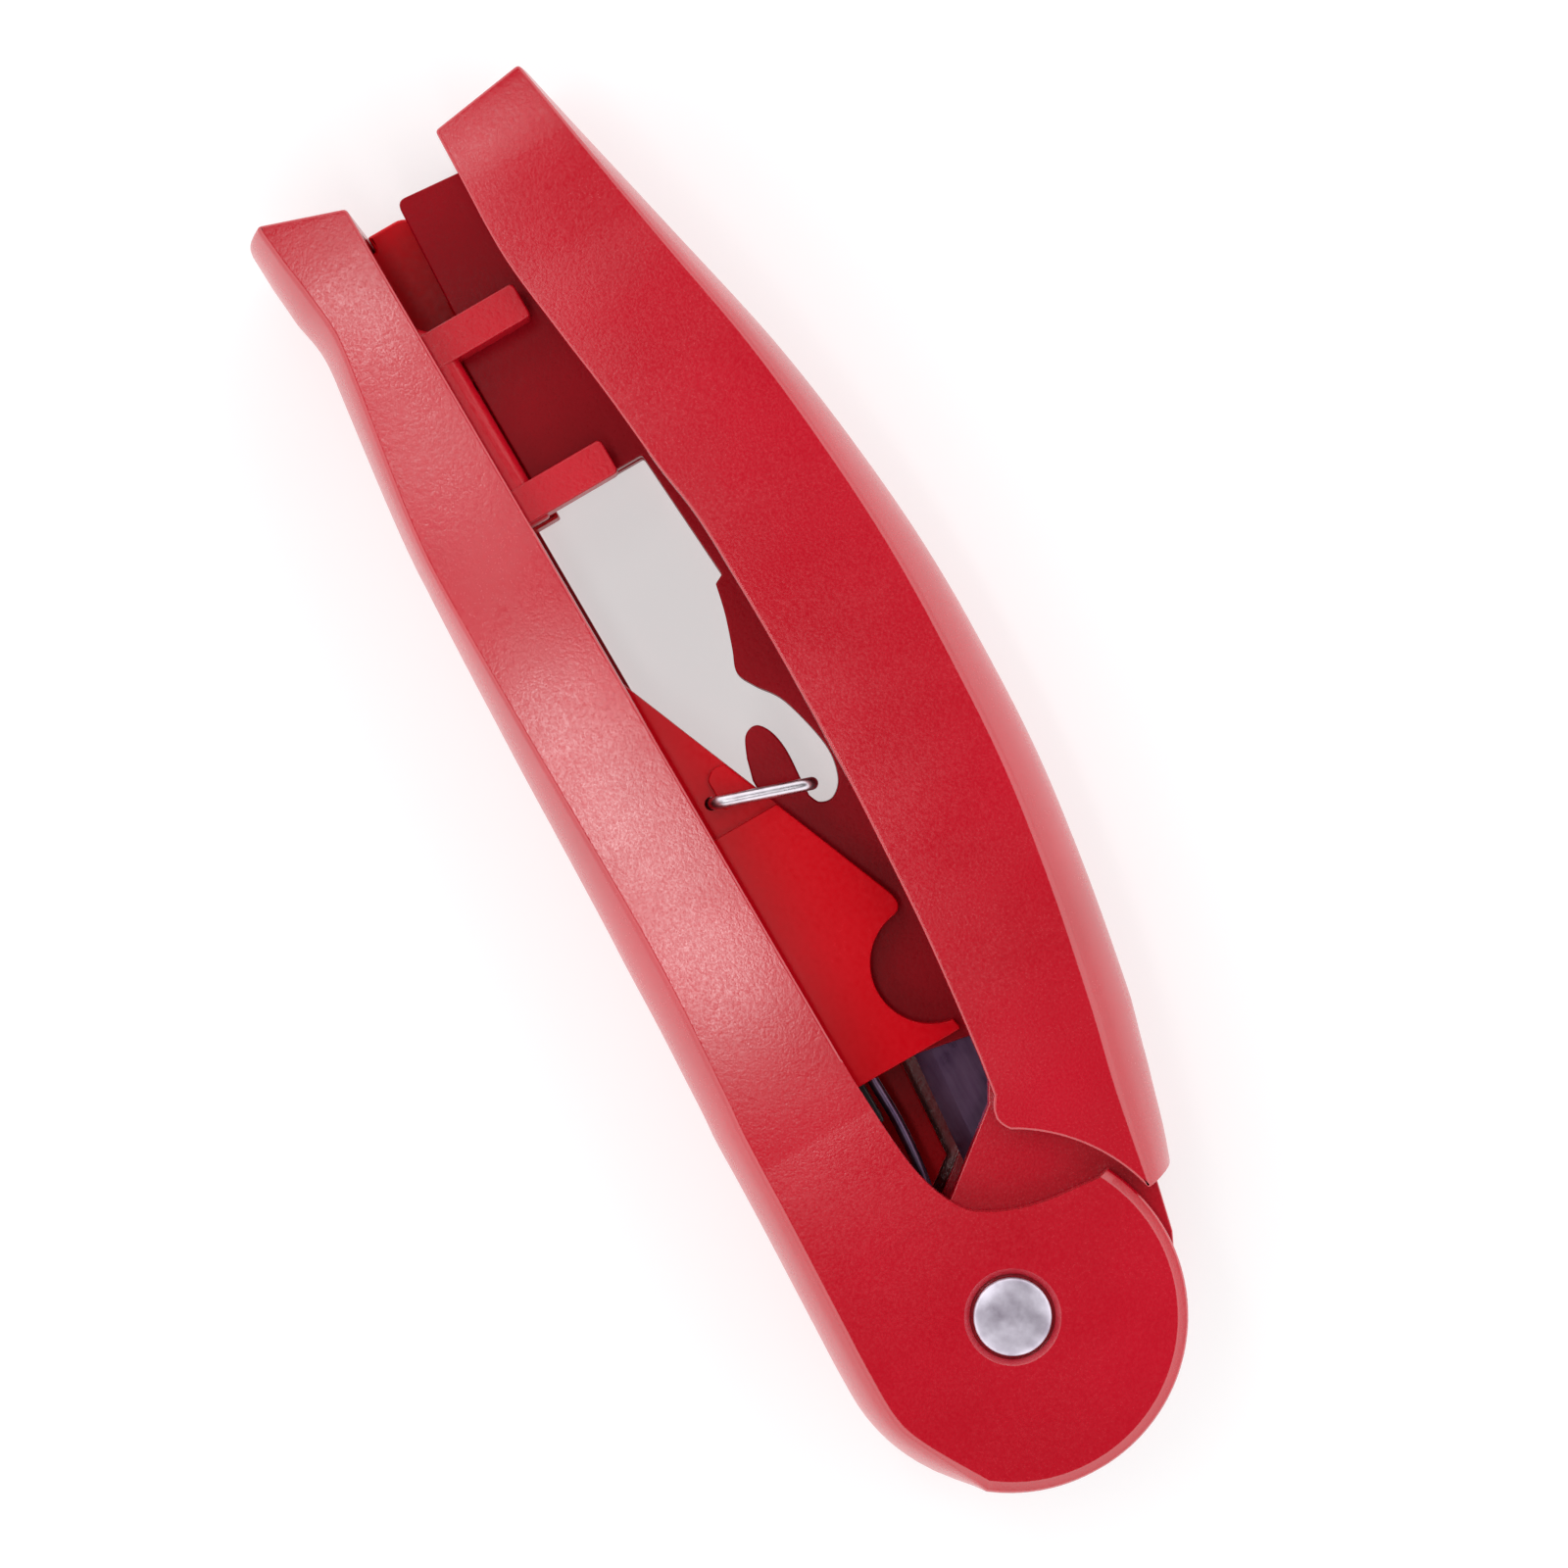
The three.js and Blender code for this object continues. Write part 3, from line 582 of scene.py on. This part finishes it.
def anvil():
    strip = [(-69, -9.4), (-69, -3.6), (-55, -1.3), (-22, -1.3), (-22, -9.4)]
    groove = [(-52, -2.8), (-52, 0), (-24, 0), (-24, -2.8)]
    body = prism("anvil_strip", strip, 7.7, 14.3, 0.15, 0.3)
    boolean(body, [block(groove, 9.9, 12.1), *pin_holes()])
    return piece(body, BLACK, "lower", "cutting_anvil")


# ---- latch, hinge and spring --------------------------------------------------------------------
def round_bend(a, b, c, radius):
    """Points of a round bend from a towards b and on to c."""
    steps = 8
    a, b, c = (Vector(p) for p in (a, b, c))
    back, on = (a - b).normalized(), (c - b).normalized()
    cut = radius * math.tan((math.pi - back.angle(on)) / 2)
    start, end = b + back * cut, b + on * cut
    middle = b + (back + on).normalized() * (radius / math.sin(back.angle(on) / 2))
    return [tuple(middle + (start - middle).slerp(end - middle, k / steps)) for k in range(steps + 1)]


def bail():
    high, low, bent_in, bend_radius, step = 18.3, 3.7, 3, 1.3, 0.8
    p, q = BAIL_PIVOT, BAIL_BAR
    knots = [(*p, high - bent_in), (*p, high), (*q, high), (*q, low), (*p, low), (*p, low + bent_in)]
    path = [knots[0]]
    for a, b, c in zip(knots, knots[1:], knots[2:]):
        path += round_bend(a, b, c, bend_radius)
    path.append(knots[-1])
    dense = []
    for a, b in zip(path, path[1:]):
        steps = max(1, int(math.dist(a, b) / step))
        dense += [tuple(np.array(a) + (np.array(b) - np.array(a)) * s / steps) for s in range(steps)]
    dense.append(path[-1])
    return piece(tube("bail_wire", dense, BAIL_WIRE, 20), WIRE, "latch", "latch_bail", 50)


def spring():
    coil, low, rise, turns, steps, between = 4.8, 13.35, 1.85, 1.385, 24, 5
    knots = [(-27, -0.3, low), (-20, -0.3, low), (-13, -1.3, low), (-6, -3.9, low)]
    for k in range(steps + 1):
        a = -0.5 * math.pi + 2 * math.pi * turns * k / steps
        knots.append((coil * math.cos(a), coil * math.sin(a), low + rise * k / steps))
    knots += [(-3, 8.6, low + rise), (-11.5, 15, low + rise)]
    at = np.array([knots[0], *knots, knots[-1]], float)
    path = []
    for i in range(len(knots) - 1):
        before, start, end, after = at[i:i + 4]
        length = np.linalg.norm(end - start)
        leaving = (end - before) / np.linalg.norm(end - before) * length
        arriving = (after - start) / np.linalg.norm(after - start) * length
        path += [hermite(start, end, leaving, arriving, s / between) for s in range(between)]
    path.append(at[-1])
    return piece(tube("spring_wire", path, 0.58, 14), SHADED_SPRING, "lower", "torsion_spring", 50)


def rivet():
    head, shank, edge = 3.78, 2.5, 0.25
    profile = [(0, 0.1), (3.0, 0.1), (3.2, 0.3), (3.2, 0.6), (shank, 0.6), (shank, 20.8), (head, 20.8)]
    profile.append((head, 21.35))
    profile += [(head - edge * (1 - math.cos(a)), 21.35 + edge * math.sin(a)) for a in (0.5, 1.0, 1.5)]
    profile += [(3.3, 21.68), (2.6, 21.75), (1.6, 21.81), (0.7, 21.84), (0, 21.85)]
    return piece(turned("rivet_domed", profile), RIVET, "lower", "hinge_rivet", 40)


# ---- upper handle -------------------------------------------------------------------------------
UPPER_BACK = [
    (-117, 21.45), (-106, 23.35), (-94, 25.45), (-82, 26.7), (-70, 27.3), (-58, 27.0), (-46, 26.15),
    (-34, 24.3), (-22, 21.8), (-14.2, 19.9),
]
UPPER_EDGE = [
    (-29.8, 10.6), (-37.5, 11.4), (-45.6, 11.95), (-53.6, 12.4), (-63.2, 12.65), (-74.2, 12.7),
    (-82.2, 12.5), (-88.4, 11.7), (-96.9, 10.9), (-104.8, 9.9), (-113.3, 9.0), (-121.4, 9.2),
]
UPPER_BULGE = [
    (-128, 0.7), (-116, 1.5), (-104, 2.15), (-86, 2.88), (-62, 3.67), (-38, 4.08), (-20, 4.5), (-14, 4.3),
    (-8, 3.75), (-4, 3.2),
]


def upper_shift(x, y, depth):
    share = smooth((y - 12.5) / 6)
    return 0.0, level(UPPER_BULGE, x) * share * bulge(depth)


def upper_sink(x):
    return 0.6 * smooth((-62 - x) / 40) * smooth((x + 124) / 14) + 0.4 * smooth((x + 50) / 30)


def screw_holes(screws, low, high):
    return [peg(x, y, SMALL_HOLE, low, high, 24) for x, y in screws]


def lugs():
    """Knuckle plates inside the clevis and the shoulders that join them to the side walls."""
    plate = Line(-26, 12.5).to((-18.7, 8.3), (-13.3, 1.4)).bend(-12.2, 0, -11.05, -1.8)
    plate.arc(0, 0, 11.2, 190.8, 363.6, 60).to((9.3, 9.4)).bend(5.5, 15.8, 0.9, 17.6)
    plate.to((-4.6, 18.9), (-14, 18), (-26, 18))
    shoulder = Line(-24, 12).to((-19.5, 10.2)).arc(0, 0, 18.5, 150, 105, 20).to((-14, 18.6), (-24, 18))
    near, far = (
        [block(plate.points, 16.2, 19, 0.15, 0.2), block(shoulder.points, 18.5, 19.9)] for _ in range(2)
    )
    return near + [flipped(lug) for lug in far]


def upper_shell():
    line = Line(-128.5, 19.55).flow([*UPPER_BACK, (-4.2, 17.9)], 80)
    line.arc(0, 0, 18.1, 103.5, 150.5, 30).bend(-16.6, 8.25, -17.4, 8.25).bend(-18.6, 8.4, -19.4, 9.2)
    line.to((-23.2, 9.8)).flow(UPPER_EDGE, 80).to((-127, 9.4))
    body = shell("upper_shell", rounded(line.points, 0.5, 40), upper_shift)
    inner = Line(-124, 17.2).flow([(x, y - 2.4) for x, y in UPPER_BACK], 70)
    inner.to((-7, 17), (-7, -6), (-124, -6))
    boolean(body, [block(inner.points, LOW, HIGH)])
    bosses = [peg(x, y, 3, 2.0, 7.5, 32) for x, y in SCREWS]
    for tool in [*lugs(), *bosses]:
        boolean(body, [tool], "UNION")
    boolean(body, [peg(0, 0, BUSH_HOLE, -1, DEPTH + 1), *screw_holes(SCREWS, 1.4, 9)])
    waved(body, -127, -20, upper_sink)
    return piece(body, HANDLE, "upper", "upper_handle_shell")


# ---- blade carrier ------------------------------------------------------------------------------
def carrier(name, node, low):
    """A plate with tongue, panel, lobe, hooked slot and the keeper finger for the bail."""
    line = Line(-123.3, 2.6).to((-110, 1.9), (-108.8, 0.3), (-90.6, 0.3), (-90.6, 11), (-76.5, 11.9))
    line.to((-76, 10.9))
    line.flow([(-73, 10.2), (-69.7, 9.1), (-67.4, 8.3), (-65.4, 9.2), (-62.6, 11), (-57, 12.3),
               (-53.6, 11.8), (-52.1, 10.4), (-52.3, 9), (-53.4, 8.4)], 70)
    line.flow([(-55.2, 8.5), (-58.4, 8.7), (-60.7, 8.3), (-62, 7.3), (-61.6, 5.9), (-59.6, 4.9)], 36)
    line.to((-57.4, 4.3), (-54, 4.3), (-52.8, 3.6), (-26.2, 4.2), (-24.9, 10.8), (-25.1, 17.8), (-36, 19.2),
            (-58, 22.2), (-84, 22), (-108, 18.6), (-123, 16.6), (-124.2, 3.6)).bend(-124.3, 2.7, -123.3, 2.6)
    body = prism(name, line.points, low, low + 2.4, 0.2, 0.3)
    boolean(body, screw_holes(SCREWS, low - 1, low + 4))
    # The darker carrier colour is painted shade, not a different plastic.
    return piece(body, SHADED_CARRIER, "upper", node)


def blade():
    """A plate ground from both faces to its straight edge; the two screws nearer the hinge hold it."""
    tip, heel = (-48.0, 6.5), (-14.4, 3.4)
    rest = [(-8.5, -3.4), (-4, -5.4), (1.5, -5.6), (5, -3.2), (6, 0.8), (4, 5), (-5, 8.6), (-17, 15.2),
            (-24, 17.6), (-46, 19.2), (-49.5, 14)]
    full = [tip, heel, *rest]
    ground = [(tip[0] - 0.3, tip[1] + 1.8), (heel[0] - 0.6, heel[1] + 1.8), *rest]
    body = loft("blade_ground", [(ground, 10.5), (full, 10.95), (full, 11.05), (ground, 11.5)])
    boolean(body, [peg(0, 0, BUSH_HOLE, 5, 15), *screw_holes(SCREWS[1:], 5, 15)])
    return piece(body, SHADED_BLADE, "upper", "blade", 8)


lower_shell()
front_insert()
rear_insert()
cradle("cradle_front_smooth", "cradle_plate_front", False)
cradle("cradle_rear_smooth", "cradle_plate_rear", True)
anvil()
bail()
spring()
rivet()
upper_shell()
carrier("carrier_front_smooth", "blade_carrier_front", 11.8)
carrier("carrier_rear_smooth", "blade_carrier_rear", 7.8)
blade()

for node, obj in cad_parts.items():
    if node.startswith(("cradle_pin", "carrier_screw", "rivet_washer")):
        dressed(obj, SCREW)
    if node in ("hinge_bush", "blade_spacer", "spring_flange"):
        dressed(obj, BLACK)


# ---- stage --------------------------------------------------------------------------------------
def pale_floor():
    """A large floor just under the object; it glows a little, to stay pale under a dark zenith."""
    half, drop = 3, -0.0003
    mesh = bpy.data.meshes.new("floor")
    corners = [(-half, -half, drop), (half, -half, drop), (half, half, drop), (-half, half, drop)]
    mesh.from_pydata(corners, [], [(0, 1, 2, 3)])
    floor = linked("floor", mesh)
    pale = Nodes("pale floor")
    pale.shader.inputs["Base Color"].default_value = (0.5, 0.5, 0.505, 1)
    pale.shader.inputs["Emission Color"].default_value = (1, 1, 1, 1)
    pale.shader.inputs["Emission Strength"].default_value = 0.52
    pale.shader.inputs["Roughness"].default_value = 0.8
    floor.data.materials.append(pale.material)


def studio_sky():
    """Soft white light from all sides, which fades towards the zenith that the side faces mirror."""
    world = bpy.data.worlds.new("studio")
    world.use_nodes = True
    tree = world.node_tree
    place = tree.nodes.new("ShaderNodeTexCoord")
    split = tree.nodes.new("ShaderNodeSeparateXYZ")
    band = tree.nodes.new("ShaderNodeMapRange")
    band.interpolation_type = "SMOOTHSTEP"
    for key, value in (("From Min", 0.7), ("From Max", 0.93), ("To Min", 1.65), ("To Max", 0.06)):
        band.inputs[key].default_value = value
    tree.links.new(place.outputs["Generated"], split.inputs[0])
    tree.links.new(split.outputs["Z"], band.inputs["Value"])
    tree.links.new(band.outputs[0], tree.nodes["Background"].inputs["Strength"])
    tree.nodes["Background"].inputs["Color"].default_value = (1, 1, 1, 1)
    bpy.context.scene.world = world


def overhead_light(name, x, y, size, power):
    """A small light above the side faces, which shows in them as one soft highlight."""
    data = bpy.data.lights.new(name, "AREA")
    data.shape = "RECTANGLE"
    data.size, data.size_y = size
    data.energy = power
    light = linked(name, data)
    light.location = put(x, y, DEPTH + 150)
    light.rotation_mode = "QUATERNION"
    light.rotation_quaternion = Vector((0, 0, -1)).to_track_quat("-Z", "Y")
    light.visible_camera = False


def camera():
    """Straight above the near side face, turned so that the tool stands nearly upright."""
    data = bpy.data.cameras.new("camera")
    data.sensor_width = 36
    data.lens = 95.24
    data.clip_start, data.clip_end = 0.01, 10
    made = linked("camera", data)
    right, up = Vector((0.5030, 0.8643, 0)), Vector((-0.8643, 0.5030, 0))
    turn = Matrix((right, up, right.cross(up))).transposed().to_4x4()
    made.matrix_world = Matrix.Translation(put(-55.6, 6.8, DEPTH + 400)) @ turn
    return made


pale_floor()
studio_sky()
overhead_light("middle_light", -57, -15, (0.07, 0.014), 0.027)
overhead_light("lower_end_light", -131, -11, (0.026, 0.016), 0.01)
overhead_light("upper_end_light", -147, 16, (0.01, 0.022), 0.0035)
bpy.context.scene.camera = camera()
bpy.context.scene.view_settings.view_transform = "Standard"
